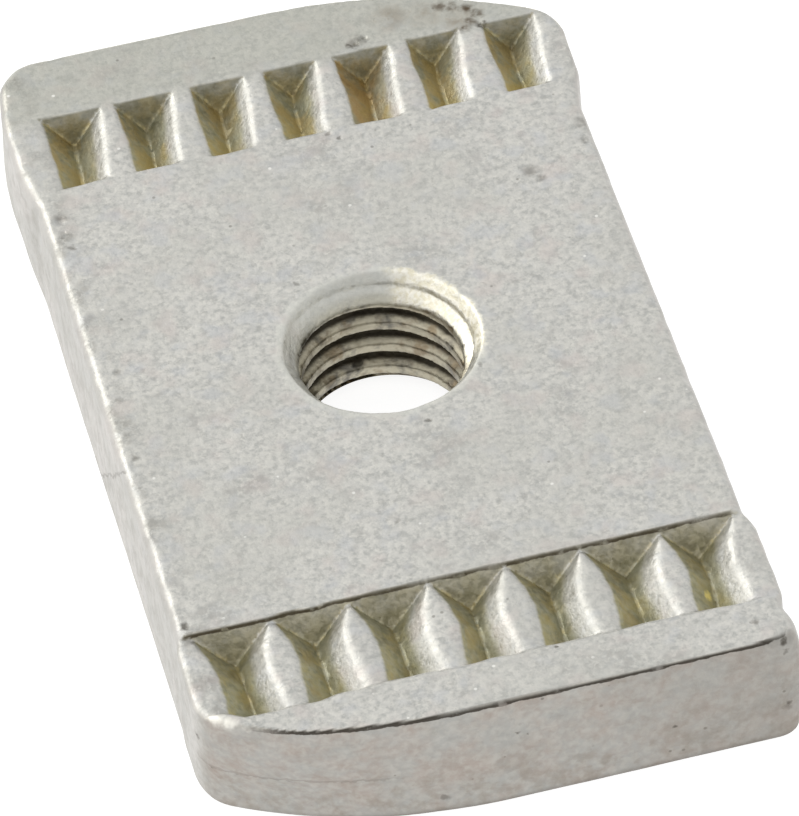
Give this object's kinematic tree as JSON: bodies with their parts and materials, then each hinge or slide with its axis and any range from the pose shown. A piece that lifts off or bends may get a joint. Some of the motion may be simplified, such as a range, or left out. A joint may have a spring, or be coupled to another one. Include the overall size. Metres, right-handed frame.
{
  "type": "strut channel nut",
  "caption": "Flat oblong steel nut for slotted strut channel, with a tapped centre hole, two toothed grooves across one face and two corners rounded so that it turns in the channel.",
  "frame": {"origin": "on the axis of the tapped hole, in the flat back face", "axes": "+X across the width, +Y along the length, +Z through the thickness towards the toothed face"},
  "size_m": [0.019, 0.0328, 0.0046],
  "materials": {
    "zinc_steel": "dull zinc plating over pressed steel, satin, finely mottled"
  },
  "bodies": {
    "root": {"nut_body": "zinc_steel"}
  },
  "joints": []
}
